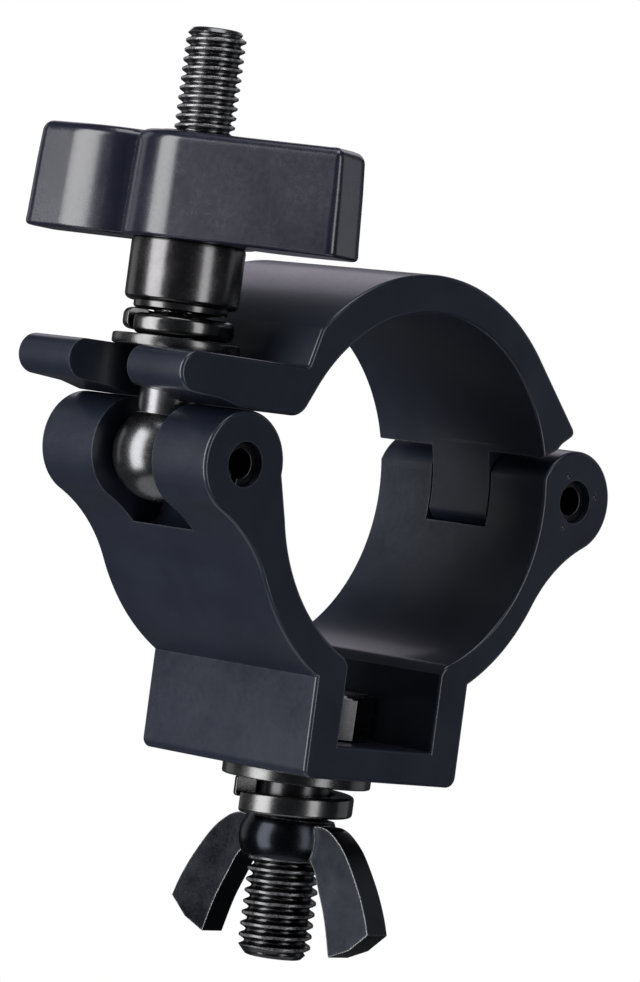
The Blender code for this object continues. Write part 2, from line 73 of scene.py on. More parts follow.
# Pins and their holes
PIN_R = 2.9
PIN_BORE_R = 1.9
PIN_HOLE_R = 2.95
PIN_LOOSE_R = 3.2
PIN_RECESS = 1.0
PUNCH_R = 0.5
PUNCH_CIRCLE_R = 3.95

# Eyebolt with its M8 thread
BALL_R = 6.35
BALL_FLAT = 5.3
SHANK_R = 3.9
M8_MAJOR_R = 3.95
M8_MINOR_R = 3.28
M8_PITCH = 1.25
M8_START = 19.4
STUD_TOP = 56.7

# Knob and sleeve; KNOB_TURN is how far the grip is turned, seen from above
WING_BOTTOM = 28.7
WING_TOP = 42.7
WING_TAPER = 0.35
WING_SHORTER = 0.017
KNOB_TURN = math.radians(-68.0)
SLEEVE_R = 7.5
BOSS_R = 5.6

# Hanging bolt with its M10 thread, and the wing nut
M10_MAJOR_R = 4.93
M10_MINOR_R = 4.12
M10_PITCH = 1.5
M10_END = -44.2
BOLT_END = -64.2
HEAD_HALF = 8.4
NUT_TOP = -45.15
NUT_HEIGHT = 5.6
NUT_BORE_R = 5.2
NUT_WING_HALF = 2.1
NUT_TURN = math.radians(-84.0)

# The gap that touching parts keep
GAP = 0.03


# ---------------------------------------------------------------- outlines

def arc(cx, cz, radius, start, end, count):
    """Points of an arc from start to end degrees, both ends included."""
    points = []
    for i in range(count + 1):
        angle = math.radians(start + (end - start) * i / count)
        points.append((cx + radius * math.cos(angle), cz + radius * math.sin(angle)))
    return points


def angle_of(cx, cz, point):
    """The direction from a centre to a point, in degrees."""
    return math.degrees(math.atan2(point[1] - cz, point[0] - cx))


def circle_meet(a, ar, b, br, upper):
    """The upper or the lower of the two points where two circles cross."""
    dx = b[0] - a[0]
    dz = b[1] - a[1]
    span = math.hypot(dx, dz)
    along = (ar * ar - br * br + span * span) / (2.0 * span)
    side = math.sqrt(max(ar * ar - along * along, 0.0))
    mx = a[0] + along * dx / span
    mz = a[1] + along * dz / span
    pair = [(mx + side * dz / span, mz - side * dx / span),
            (mx - side * dz / span, mz + side * dx / span)]
    pair.sort(key=lambda p: p[1])
    return pair[1] if upper else pair[0]


def corner(p0, p1, p2, radius, count):
    """Points that round the corner at p1, between its sides to p0 and p2."""
    a = (Vector(p0) - Vector(p1)).normalized()
    b = (Vector(p2) - Vector(p1)).normalized()
    half = a.angle(b) / 2.0
    centre = Vector(p1) + (a + b).normalized() * (radius / math.sin(half))
    start = Vector(p1) + a * (radius / math.tan(half)) - centre
    end = Vector(p1) + b * (radius / math.tan(half)) - centre
    turn = math.atan2(start.x * end.y - start.y * end.x, start.dot(end))
    base = math.atan2(start.y, start.x)
    return [(centre.x + radius * math.cos(base + turn * i / count),
             centre.y + radius * math.sin(base + turn * i / count)) for i in range(count + 1)]


def tidy(points, least=0.02):
    """Leave out points that are nearer than least to the one before."""
    kept = []
    for point in points:
        if not kept or math.dist(point, kept[-1]) > least:
            kept.append(point)
    if math.dist(kept[0], kept[-1]) <= least:
        kept.pop()
    return kept


def inset(points, depth):
    """Move an outline inwards by depth."""
    total = len(points)
    area = sum(points[i - 1][0] * points[i][1] - points[i][0] * points[i - 1][1]
               for i in range(total))
    sign = 1.0 if area > 0.0 else -1.0
    moved = []
    for i in range(total):
        before = Vector(points[i]) - Vector(points[i - 1])
        after = Vector(points[(i + 1) % total]) - Vector(points[i])
        n0 = Vector((-before.y, before.x)).normalized() * sign
        n1 = Vector((-after.y, after.x)).normalized() * sign
        mitre = n0 + n1
        scale = 2.0 / max(mitre.length_squared, 0.8)
        moved.append((points[i][0] + mitre.x * depth * scale,
                      points[i][1] + mitre.y * depth * scale))
    return moved


def smooth_line(points, closed, count):
    """Extra points between given ones, on a Catmull-Rom curve."""
    out = []
    total = len(points)
    spans = total if closed else total - 1
    for i in range(spans):
        if closed:
            p = [points[(i + k) % total] for k in (-1, 0, 1, 2)]
        else:
            p = [points[min(max(i + k, 0), total - 1)] for k in (-1, 0, 1, 2)]
        for step in range(count):
            t = step / count
            out.append(tuple(0.5 * (2 * p[1][a] + (p[2][a] - p[0][a]) * t
                                    + (2 * p[0][a] - 5 * p[1][a] + 4 * p[2][a] - p[3][a]) * t * t
                                    + (3 * p[1][a] - p[0][a] - 3 * p[2][a] + p[3][a]) * t ** 3)
                             for a in (0, 1)))
    if not closed:
        out.append(points[-1])
    return out


def neck_fillet(centre):
    """The hollow arc from a knuckle into the body's outer curve."""
    mid = circle_meet(centre, KNUCKLE_R + NECK_R, (BODY_OUT_X, 0.0), BODY_OUT_R + NECK_R, False)
    first = angle_of(mid[0], mid[1], centre)
    turn = (angle_of(mid[0], mid[1], (BODY_OUT_X, 0.0)) - first) % 360.0
    if turn > 180.0:
        turn -= 360.0
    return arc(mid[0], mid[1], NECK_R, first, first + turn, 28)


def body_outline():
    """The lower half: bore, knuckles, necks and the box with its open channel."""
    lip_x = CHANNEL_HALF + CHANNEL_LIP
    lip = math.sqrt(BORE_R ** 2 - lip_x ** 2)
    right_top = circle_meet((0.0, 0.0), BORE_R, HINGE, KNUCKLE_R, True)
    points = arc(0.0, 0.0, BORE_R, angle_of(0, 0, (-lip_x, -lip)) % 360.0, 193.0, 40)
    hollow = neck_fillet(EYE)
    points += arc(*EYE, KNUCKLE_R, -6.0, angle_of(*EYE, hollow[0]) % 360.0, 64)
    points += hollow
    side = -math.sqrt(BODY_OUT_R ** 2 - (BOX_HALF + BODY_OUT_X) ** 2)
    start = angle_of(BODY_OUT_X, 0.0, hollow[-1]) % 360.0
    points += arc(BODY_OUT_X, 0.0, BODY_OUT_R, start,
                  angle_of(BODY_OUT_X, 0.0, (-BOX_HALF, side)) % 360.0, 24)
    points += corner((-BOX_HALF, side), (-BOX_HALF, BOX_BOTTOM), (0.0, BOX_BOTTOM), 1.3, 8)
    points += corner((0.0, BOX_BOTTOM), (BOX_HALF, BOX_BOTTOM), (BOX_HALF, 0.0), 1.5, 8)
    side = -math.sqrt(BODY_OUT_R ** 2 - (BOX_HALF - BODY_OUT_X) ** 2)
    hollow = neck_fillet(HINGE)
    hollow.reverse()
    points += arc(BODY_OUT_X, 0.0, BODY_OUT_R, angle_of(BODY_OUT_X, 0.0, (BOX_HALF, side)),
                  angle_of(BODY_OUT_X, 0.0, hollow[0]), 24)
    points += hollow
    points += arc(*HINGE, KNUCKLE_R, angle_of(*HINGE, hollow[-1]),
                  angle_of(*HINGE, right_top) % 360.0, 64)
    points += arc(0.0, 0.0, BORE_R, angle_of(0, 0, right_top), angle_of(0, 0, (lip_x, -lip)), 40)
    points += [(CHANNEL_HALF, -lip - 1.1), (CHANNEL_HALF, CHANNEL_FLOOR),
               (-CHANNEL_HALF, CHANNEL_FLOOR), (-CHANNEL_HALF, -lip - 1.1)]
    return points


def jaw_outline():
    """The upper half with the forked flange, without the hinge lug."""
    points = arc(0.0, 0.0, BORE_R, 17.5, 150.0, 90)
    tangent = math.radians(240.0)
    reach = (FLANGE_UNDER - points[-1][1]) / math.sin(tangent)
    root = (points[-1][0] + reach * math.cos(tangent), FLANGE_UNDER)
    under_end = (-34.0, FLANGE_UNDER)
    points += corner(points[-1], root, under_end, 3.0, 14)
    points += [under_end, (-37.5, 8.9)]
    points += arc(-42.6, FLANGE_TOP - FLANGE_TIP_R, FLANGE_TIP_R, 262.0, 90.0, 24)
    points += corner((-40.0, FLANGE_TOP), (-23.2, FLANGE_TOP), (-21.3, 19.1), 0.6, 6)
    points += arc(-0.45, 1.1, JAW_OUT_R, 138.5, 42.0, 64)
    points += smooth_line([(28.3, 11.75), (28.5, 11.2), (28.2, 10.6), (26.6, 9.5), (25.6, 8.5),
                           (23.9, 7.7)], False, 4)
    return points


def lug_outline():
    """The hinge lug, which fills the gap between the hinge knuckles."""
    low = circle_meet((0.0, 0.0), BORE_R, HINGE, KNUCKLE_R, False)
    points = arc(0.0, 0.0, BORE_R, 22.0, angle_of(0, 0, low), 16)
    points += arc(*HINGE, KNUCKLE_R, angle_of(*HINGE, low) % 360.0, 448.0, 64)
    points += [(28.2, 11.0), (25.2, 12.6)]
    return points


# ---------------------------------------------------------------- mesh tools

def link(name, verts, faces):
    """Make a mesh object from points in millimetres."""
    mesh = bpy.data.meshes.new(name)
    mesh.from_pydata([(x * MM, y * MM, z * MM) for x, y, z in verts], [], faces)
    bm = bmesh.new()
    bm.from_mesh(mesh)
    bmesh.ops.recalc_face_normals(bm, faces=bm.faces)
    bm.to_mesh(mesh)
    bm.free()
    obj = bpy.data.objects.new(name, mesh)
    bpy.context.scene.collection.objects.link(obj)
    return obj


def skin(rings):
    """Points and faces of a solid through equal rings, closed at both ends."""
    size = len(rings[0])
    verts = [v for ring in rings for v in ring]
    faces = []
    for r in range(len(rings) - 1):
        for i in range(size):
            j = (i + 1) % size
            faces.append((r * size + i, r * size + j, (r + 1) * size + j, (r + 1) * size + i))
    faces.append(tuple(range(size - 1, -1, -1)))
    faces.append(tuple(range((len(rings) - 1) * size, len(rings) * size)))
    return verts, faces


def slab(name, outline, y0, y1):
    """An outline in XZ, extruded from y0 to y1."""
    outline = tidy(outline)
    return link(name, *skin([[(x, y0, z) for x, z in outline], [(x, y1, z) for x, z in outline]]))


def rounded_slab(name, outline, y0, y1, radius):
    """A slab whose two end faces have rounded rims."""
    outline = tidy(outline)
    rings = []
    for side, y in ((1, y0), (-1, y1)):
        part = []
        for k in range(6):
            angle = math.radians(18.0 * k)
            level = y + side * radius * (1.0 - math.sin(angle))
            part.append([(x, level, z) for x, z in inset(outline, radius * (1.0 - math.cos(angle)))])
        rings += part[::-1] if side == 1 else part
    return link(name, *skin(rings))


def plate(name, outline, z0, z1):
    """An outline in XY, extruded from z0 to z1."""
    outline = tidy(outline)
    return link(name, *skin([[(x, y, z0) for x, y in outline], [(x, y, z1) for x, y in outline]]))


def circle_ring(cx, cy, radius, z, count):
    """Points of a level circle."""
    return [(cx + radius * math.cos(2 * math.pi * i / count),
             cy + radius * math.sin(2 * math.pi * i / count), z) for i in range(count)]


def spindle(name, profile, cx, cy, count=96):
    """A turned solid; the profile lists radius and height from end to end."""
    return link(name, *skin([circle_ring(cx, cy, r, z, count) for r, z in profile]))


def lathe(name, profile, cx, cy, count=96):
    """A turned ring; the profile is a closed loop of radius and height."""
    verts = []
    faces = []
    size = len(profile)
    for i in range(count):
        angle = 2.0 * math.pi * i / count
        for radius, z in profile:
            verts.append((cx + radius * math.cos(angle), cy + radius * math.sin(angle), z))
    for i in range(count):
        j = (i + 1) % count
        for k in range(size):
            m = (k + 1) % size
            faces.append((i * size + k, j * size + k, j * size + m, i * size + m))
    return link(name, verts, faces)


def boolean(target, other, kind="DIFFERENCE"):
    """Cut other out of target, or add it, and remove it."""
    mod = target.modifiers.new("bool", "BOOLEAN")
    mod.operation = kind
    mod.solver = "EXACT"
    mod.object = other
    freeze(target)
    bpy.data.objects.remove(other, do_unlink=True)


def freeze(obj):
    """Apply the modifiers to the mesh."""
    bpy.context.view_layer.update()
    done = bpy.data.meshes.new_from_object(obj.evaluated_get(bpy.context.evaluated_depsgraph_get()))
    obj.modifiers.clear()
    old = obj.data
    obj.data = done
    done.name = obj.name
    bpy.data.meshes.remove(old)


def bevel(obj, width, segments=3, angle=30.0):
    """Round the edges that are sharper than angle."""
    mod = obj.modifiers.new("bevel", "BEVEL")
    mod.width = width * MM
    mod.segments = segments
    mod.limit_method = "ANGLE"
    mod.angle_limit = math.radians(angle)
    mod.miter_outer = "MITER_ARC"
    freeze(obj)


def smooth(obj, angle=42.0):
    """Smooth shading that keeps the large flat faces flat."""
    obj.data.shade_smooth()
    obj.data.set_sharp_from_angle(angle=math.radians(angle))
    mod = obj.modifiers.new("weighted", "WEIGHTED_NORMAL")
    mod.mode = "FACE_AREA"
    mod.weight = 100
    mod.keep_sharp = True
    freeze(obj)


def rod_y(name, centre, radius, y0, y1, count=64):
    """A round bar along Y."""
    return slab(name, arc(*centre, radius, 0.0, 360.0, count)[:-1], y0, y1)


# ---------------------------------------------------------------- pieces

def punch_marks(obj, centre, start_deg):
    """Small dimples round a pin hole, left by the tool that stakes the pin."""
    for side in (-1, 1):
        for turn in (0.0, 105.0, 230.0):
            angle = math.radians(start_deg + turn)
            bm = bmesh.new()
            bmesh.ops.create_icosphere(bm, subdivisions=3, radius=PUNCH_R * MM)
            mesh = bpy.data.meshes.new("punch")
            bm.to_mesh(mesh)
            bm.free()
            place = Vector((centre[0] + PUNCH_CIRCLE_R * math.cos(angle),
                            (WIDTH / 2 + 0.16) * side,
                            centre[1] + PUNCH_CIRCLE_R * math.sin(angle)))
            mesh.transform(Matrix.Translation(place * MM))
            ball = bpy.data.objects.new("punch", mesh)
            bpy.context.scene.collection.objects.link(ball)
            boolean(obj, ball)


def make_body():
    """The lower half with its knuckles, slot, hinge gap, channel and bolt hole."""
    obj = rounded_slab("body_casting", body_outline(), -WIDTH / 2, WIDTH / 2, BODY_EDGE)
    outside, above, step_z, step_x = -45.0, 12.0, -2.5, -20.0
    slot = corner((outside, SLOT_FLOOR), (SLOT_BACK, SLOT_FLOOR), (SLOT_BACK, step_z), 2.5, 10)
    slot += [(SLOT_BACK, step_z), (step_x, step_z), (step_x, above), (outside, above),
             (outside, SLOT_FLOOR)]
    boolean(obj, slab("cut", slot, -SLOT_HALF, SLOT_HALF))
    boolean(obj, rod_y("cut", HINGE, 8.0, -LUG_GAP_HALF, LUG_GAP_HALF, 96))
    bolt_hole = arc(0.0, 0.0, 5.4, 0.0, 360.0, 64)[:-1]
    boolean(obj, plate("cut", bolt_hole, BOX_BOTTOM - 6.0, CHANNEL_FLOOR + 4.0))
    bevel(obj, 0.5, 3, 35.0)
    boolean(obj, rod_y("cut", EYE, PIN_HOLE_R, -WIDTH, WIDTH))
    boolean(obj, rod_y("cut", HINGE, PIN_HOLE_R, -WIDTH, WIDTH))
    punch_marks(obj, HINGE, 15.0)
    smooth(obj)
    return obj


def make_jaw():
    """The upper half with its hinge lug and forked flange."""
    obj = rounded_slab("jaw_casting", jaw_outline(), -WIDTH / 2, WIDTH / 2, BODY_EDGE)
    boolean(obj, slab("lug", lug_outline(), -LUG_HALF, LUG_HALF), "UNION")
    boolean(obj, rod_y("cut", HINGE, PIN_LOOSE_R, -WIDTH, WIDTH))
    centre_x = -26.6 - FORK_HALF
    outside = -50.0
    fork = [(outside, -FORK_HALF), (centre_x, -FORK_HALF)]
    fork += arc(centre_x, 0.0, FORK_HALF, -84.0, 84.0, 32)
    fork += [(centre_x, FORK_HALF), (outside, FORK_HALF)]
    boolean(obj, plate("cut", fork, 0.0, 20.0))
    bevel(obj, 0.5, 3, 35.0)
    smooth(obj)
    return obj


def make_roll_pin(name, centre, slot_deg):
    """A hollow pin with a slit along it."""
    split = 12.0
    outline = arc(0.0, 0.0, PIN_R, slot_deg + split, slot_deg + 360.0 - split, 64)
    outline += arc(0.0, 0.0, PIN_BORE_R, slot_deg + 360.0 - split, slot_deg + split, 64)
    half = WIDTH / 2 - PIN_RECESS
    obj = slab(name, [(x + centre[0], z + centre[1]) for x, z in outline], -half, half)
    bevel(obj, 0.22, 3)
    smooth(obj)
    return obj


def thread_radius(z, turn, minor, major, pitch):
    """Radius of a helical thread at a height and a part of a turn."""
    phase = (z / pitch - turn) % 1.0
    wave = 1.0 - abs(2.0 * phase - 1.0)
    rise = min(max(1.7 * wave - 0.3, 0.0), 1.0)
    return minor + (major - minor) * rise


def thread_rings(cx, z0, z1, minor, major, pitch, limit, count, fine):
    """Rings of a thread, fine to a pitch; limit(z) caps the radius at the tip."""
    rings = []
    steps = int(round((z1 - z0) / (pitch / fine)))
    for s in range(steps + 1):
        z = z0 + (z1 - z0) * s / steps
        ring = []
        for i in range(count):
            angle = 2.0 * math.pi * i / count
            radius = min(thread_radius(z, i / count, minor, major, pitch), limit(z))
            ring.append((cx + radius * math.cos(angle), radius * math.sin(angle), z))
        rings.append(ring)
    return rings


def make_eyebolt():
    """A flattened ball with a cross hole, a plain shank and a thread."""
    count = 72
    cx, cz = EYE
    rings = []
    for i in range(40):
        angle = math.radians(-88.0 + 140.0 * i / 39)
        rings.append(circle_ring(cx, 0.0, BALL_R * math.cos(angle), cz + BALL_R * math.sin(angle),
                                 count))
    for radius, z in ((SHANK_R + 0.05, 6.25), (SHANK_R, 6.7), (SHANK_R, 17.9), (SHANK_R, 18.3),
                      (3.35, 19.2)):
        rings.append(circle_ring(cx, 0.0, radius, z, count))
    rings += thread_rings(cx, M8_START, STUD_TOP - 0.08, M8_MINOR_R, M8_MAJOR_R, M8_PITCH,
                          lambda z: min(M8_MAJOR_R, 3.1 + (STUD_TOP - z) * 0.85), count, 10)
    rings.append(circle_ring(cx, 0.0, 2.9, STUD_TOP, count))
    obj = link("eyebolt_forging", *skin(rings))
    for side in (-1, 1):
        block = [(x, y * side) for x, y in ((-50.0, BALL_FLAT), (-15.0, BALL_FLAT), (-15.0, 9.0),
                                            (-50.0, 9.0))]
        boolean(obj, plate("cut", block, -9.0, 8.4))
    boolean(obj, rod_y("cut", EYE, PIN_LOOSE_R, -WIDTH, WIDTH))
    smooth(obj, 48.0)
    return obj


def wing_outline():
    """The two-winged grip from above: half of it, then its half-turn copy."""
    half = arc(0.0, 0.0, 8.9, 155.0, 83.4, 40)
    half += arc(21.96, 5.01, 1.4, 83.4, 4.0, 14)
    half.append((23.7, 0.6))
    half += arc(21.3, -0.8, 2.2, 0.0, -76.0, 14)
    half += arc(14.03, 9.89, 14.33, -76.0, -101.0, 20)
    half += arc(12.64, 2.69, 7.0, -102.0, -121.0, 10)
    half.append((8.45, -3.1))
    other = [(-x, -y) for x, y in half]
    return [(x, -y) for x, y in tidy(half + other)]


def wing_levels():
    """Height, inset and lengthwise scale of each ring, from the foot to the rounded top."""
    foot_round, top_drop, top_round = 0.6, 1.6, 1.5
    levels = []
    for k in range(6):
        angle = math.radians(90.0 * k / 5)
        levels.append((WING_BOTTOM + foot_round * (1.0 - math.cos(angle)),
                       foot_round * (1.0 - math.sin(angle)), 1.0))
    rise = WING_TOP - WING_BOTTOM
    levels += [(WING_BOTTOM + rise * k / 8.0, WING_TAPER * k / 8.0, 1.0 - WING_SHORTER * k / 8.0)
               for k in (1, 3, 5)]
    for k in range(10):
        angle = math.radians(90.0 * k / 9)
        levels.append((WING_TOP - top_drop * (1.0 - math.sin(angle)),
                       WING_TAPER + top_round * (1.0 - math.cos(angle)), 1.0 - WING_SHORTER))
    return levels


def make_knob():
    """The grip, drawn in towards its top, with a hole for the stud and the sleeve."""
    cos, sin = math.cos(KNOB_TURN), math.sin(KNOB_TURN)
    outline = wing_outline()
    rings = []
    for z, depth, stretch in wing_levels():
        rings.append([(x * stretch * cos - y * sin + EYE[0], x * stretch * sin + y * cos, z)
                      for x, y in inset(outline, depth)])
    obj = link("knob_grip", *skin(rings))
    boolean(obj, spindle("cut", [(5.9, 26.7), (5.9, 38.3), (4.5, 38.3), (4.5, WING_TOP - 0.7),
                                 (4.65, WING_TOP - 0.3), (5.0, WING_TOP), (5.6, WING_TOP + 0.2)],
                         EYE[0], 0.0))
    smooth(obj, 50.0)
    return obj


def make_sleeve():
    """The turned sleeve below the grip, with a collar at its foot."""
    top = WING_BOTTOM - GAP
    profile = [(4.6, 19.55), (5.9, 19.55), (6.15, 19.75), (6.2, 20.0), (6.2, 20.45), (6.7, 20.5),
               (SLEEVE_R - 0.45, 20.62), (SLEEVE_R - 0.12, 20.9), (SLEEVE_R, 21.3),
               (SLEEVE_R, top - 0.5), (SLEEVE_R - 0.1, top - 0.1), (SLEEVE_R - 0.25, top),
               (BOSS_R, top), (BOSS_R, 38.0), (4.2, 38.0), (4.2, 19.95)]
    obj = lathe("knob_sleeve_turned", profile, EYE[0], 0.0, 128)
    smooth(obj, 35.0)
    return obj


def make_flat_washer(name, outer, inner, bottom, top, cx):
    """A ring with chamfered edges."""
    edge, burr = 0.3, 0.08
    profile = [(inner, bottom + burr), (inner + burr, bottom), (outer - edge, bottom),
               (outer - edge * 0.3, bottom + edge * 0.3), (outer, bottom + edge), (outer, top - edge),
               (outer - edge * 0.3, top - edge * 0.3), (outer - edge, top), (inner + burr, top),
               (inner, top - burr)]
    obj = lathe(name, profile, cx, 0.0, 128)
    smooth(obj, 38.0)
    return obj


def make_spring_washer(name, outer, inner, bottom, thick, rise, cx, start_deg, soft):
    """A split ring; soft is the rounding of its outer edges."""
    section = [(inner, 0.25), (inner + 0.25, 0.0)]
    section += [(outer - soft + soft * math.sin(math.radians(a)), soft - soft * math.cos(math.radians(a)))
                for a in range(0, 91, 15)]
    section += [(outer - soft + soft * math.cos(math.radians(a)),
                 thick - soft + soft * math.sin(math.radians(a))) for a in range(0, 91, 15)]
    section += [(inner + 0.25, thick), (inner, thick - 0.25)]
    rings = []
    count = 120
    half_split = 6.0
    for i in range(count + 1):
        angle = math.radians(start_deg + half_split + (360.0 - 2.0 * half_split) * i / count)
        rings.append([(cx + r * math.cos(angle), r * math.sin(angle), bottom + rise * i / count + z)
                      for r, z in section])
    obj = link(name, *skin(rings))
    bevel(obj, 0.15, 2, 50.0)
    smooth(obj, 50.0)
    return obj


def hexagon(z, limit, count):
    """A hexagon as a ring of count points, with its corners cut at radius limit."""
    ring = []
    for i in range(count):
        angle = 2.0 * math.pi * i / count
        off = math.radians(((math.degrees(angle) + 30.0) % 60.0) - 30.0)
        radius = min(HEAD_HALF / math.cos(off), limit)
        ring.append((radius * math.cos(angle), radius * math.sin(angle), z))
    return ring


def make_mount_bolt():
    """A hex-headed bolt, its head in the channel."""
    count = 72
    low = CHANNEL_FLOOR + GAP
    rings = [circle_ring(0.0, 0.0, 3.6, BOLT_END, count)]
    rings += thread_rings(0.0, BOLT_END + 0.08, M10_END, M10_MINOR_R, M10_MAJOR_R, M10_PITCH,
                          lambda z: min(M10_MAJOR_R, 3.75 + (z - BOLT_END) * 0.9), count, 10)
    for radius, z in ((M10_MINOR_R, -44.0), (M10_MAJOR_R, -43.2), (M10_MAJOR_R, low)):
        rings.append(circle_ring(0.0, 0.0, radius, z, count))
    for height, limit in ((0.0, 8.1), (0.25, 9.6), (5.6, 9.7), (6.1, 8.9), (6.4, 8.2)):
        rings.append(hexagon(low + height, limit, count))
    obj = link("mount_bolt_forging", *skin(rings))
    smooth(obj, 35.0)
    return obj


def make_wing_nut():
    """A domed hub with two wings that hang down."""
    profile = [(NUT_BORE_R, NUT_TOP), (5.6, NUT_TOP)]
    profile += [(5.75 + 0.95 * math.sin(math.pi * (k + 1.0) / 18),
                 NUT_TOP - NUT_HEIGHT * k / 16 - 0.05) for k in range(16)]
    profile += [(5.8, NUT_TOP - NUT_HEIGHT), (NUT_BORE_R, NUT_TOP - NUT_HEIGHT)]
    obj = lathe("wing_nut_casting", profile, 0.0, 0.0, 96)
    outer = smooth_line([(5.9, -0.5), (7.6, -0.5), (9.4, -1.3), (11.8, -3.4), (14.6, -7.4),
                         (16.4, -10.8), (17.4, -13.4)], False, 6)
    foot = [(14.6, -15.9)]
    inner = smooth_line([(11.2, -17.4), (9.7, -12.6), (8.0, -8.8), (6.9, -6.4), (5.9, -5.2)], False, 6)
    for side in (-1, 1):
        wing = slab("wing", [(x * side, NUT_TOP + z) for x, z in outer + foot + inner],
                    -NUT_WING_HALF, NUT_WING_HALF)
        wing.data.transform(Matrix.Rotation(NUT_TURN, 4, "Z"))
        bevel(wing, 0.08, 2)
        boolean(obj, wing, "UNION")
    smooth(obj, 40.0)
    return obj


# ---------------------------------------------------------------- materials

class Nodes:
    """Short helpers to wire the nodes of one material."""

    def __init__(self, name):
        self.mat = bpy.data.materials.new(name)
        self.mat.use_nodes = True
        self.tree = self.mat.node_tree
        self.shader = self.tree.nodes["Principled BSDF"]

    def add(self, kind, **values):
        node = self.tree.nodes.new(kind)
        for key, value in values.items():
            if key in node.inputs:
                node.inputs[key].default_value = value
            else:
                setattr(node, key, value)
        return node

    def wire(self, source, target):
        self.tree.links.new(source, target)

    def noise(self, scale, detail=3.0, rough=0.55, coords=None):
        node = self.add("ShaderNodeTexNoise", Scale=scale, Detail=detail, Roughness=rough)
        self.wire(coords or self.place(), node.inputs["Vector"])
        return node.outputs["Fac"]

    def place(self):
        """The piece's own coordinates, which stay with it when it moves."""
        return self.add("ShaderNodeTexCoord").outputs["Object"]

    def span(self, source, low, high, a=0.0, b=1.0):
        """Map a value from a..b to low..high."""
        node = self.add("ShaderNodeMapRange")
        node.inputs["From Min"].default_value = a
        node.inputs["From Max"].default_value = b
        node.inputs["To Min"].default_value = low
        node.inputs["To Max"].default_value = high
        self.wire(source, node.inputs["Value"])
        return node.outputs["Result"]

    def maths(self, kind, a, b):
        node = self.add("ShaderNodeMath")
        node.operation = kind
        for value, socket in ((a, node.inputs[0]), (b, node.inputs[1])):
            if isinstance(value, float):
                socket.default_value = value
            else:
                self.wire(value, socket)
        return node.outputs["Value"]

    def mix(self, factor, a, b):
        node = self.add("ShaderNodeMix")
        node.data_type = "RGBA"
        self.wire(factor, node.inputs["Factor"])
        for value, socket in ((a, node.inputs[6]), (b, node.inputs[7])):
            if isinstance(value, tuple):
                socket.default_value = (*value, 1.0)
            else:
                self.wire(value, socket)
        return node.outputs[2]

    def bump(self, height, strength, distance, normal=None):
        """A normal from a height map; distance is in millimetres."""
        node = self.add("ShaderNodeBump")
        node.inputs["Strength"].default_value = strength
        node.inputs["Distance"].default_value = distance * MM
        self.wire(height, node.inputs["Height"])
        if normal is not None:
            self.wire(normal, node.inputs["Normal"])
        return node.outputs["Normal"]

    def crests(self, coords, cx, major, low, high):
        """A mask that is 1 on a thread's crests between two heights and 0 elsewhere."""
        shift = self.add("ShaderNodeVectorMath")
        shift.operation = "SUBTRACT"
        self.wire(coords, shift.inputs[0])
        shift.inputs[1].default_value = (cx * MM, 0.0, 0.0)
        flat = self.add("ShaderNodeVectorMath")
        flat.operation = "MULTIPLY"
        self.wire(shift.outputs["Vector"], flat.inputs[0])
        flat.inputs[1].default_value = (1.0, 1.0, 0.0)
        size = self.add("ShaderNodeVectorMath")
        size.operation = "LENGTH"
        self.wire(flat.outputs["Vector"], size.inputs[0])
        ridge = self.span(size.outputs["Value"], 0.0, 1.0, (major - 0.12) * MM, (major - 0.03) * MM)
        split = self.add("ShaderNodeSeparateXYZ")
        self.wire(coords, split.inputs[0])
        above = self.maths("GREATER_THAN", split.outputs["Z"], low * MM)
        below = self.maths("LESS_THAN", split.outputs["Z"], high * MM)
        return self.maths("MULTIPLY", ridge, self.maths("MULTIPLY", above, below))

    def edges(self, radius, low, high):
        """A mask that is 1 on sharp outer edges and 0 on open faces."""
        round_node = self.add("ShaderNodeBevel", samples=6)
        round_node.inputs["Radius"].default_value = radius * MM
        geometry = self.add("ShaderNodeNewGeometry")
        dot = self.add("ShaderNodeVectorMath")
        dot.operation = "DOT_PRODUCT"
        self.wire(round_node.outputs["Normal"], dot.inputs[0])
        self.wire(geometry.outputs["Normal"], dot.inputs[1])
        return self.span(dot.outputs["Value"], 1.0, 0.0, low, high)


def powder_coat(name, colour, roughness, ior=1.5, edge_highlight_and_wear=(0.07, 0.075, 0.09)):
    """Semi-gloss coat: fine orange peel, faint cloudy tone and thin lighter edges, a painted edge
    highlight that also stands for rubbed coat.
    """
    n = Nodes(name)
    coords = n.place()
    cloud = n.noise(90.0, 4.0, 0.6, coords)
    peel = n.noise(1500.0, 2.0, 0.5, coords)
    grain = n.noise(5200.0, 1.0, 0.5, coords)
    lighter = tuple(c * 1.3 + 0.0005 for c in colour)
    base = n.mix(n.span(cloud, 0.0, 1.0, 0.35, 0.7), colour, lighter)
    # Lighter edges: a painted highlight along the edges, which also stands for rubbed coat.
    edge = n.maths("MULTIPLY", n.edges(0.35, 0.86, 0.995), n.span(peel, 0.3, 1.0, 0.35, 0.6))
    n.wire(n.mix(edge, base, edge_highlight_and_wear), n.shader.inputs["Base Color"])
    rough = n.span(cloud, roughness - 0.03, roughness + 0.04, 0.3, 0.7)
    rough = n.maths("ADD", rough, n.span(peel, -0.02, 0.02, 0.3, 0.7))
    n.wire(rough, n.shader.inputs["Roughness"])
    n.shader.inputs["IOR"].default_value = ior
    n.shader.inputs["Coat Weight"].default_value = 0.3
    n.shader.inputs["Coat Roughness"].default_value = 0.14
    normal = n.bump(peel, 0.10, 0.05)
    n.wire(n.bump(grain, 0.06, 0.02, normal), n.shader.inputs["Normal"])
    return n.mat


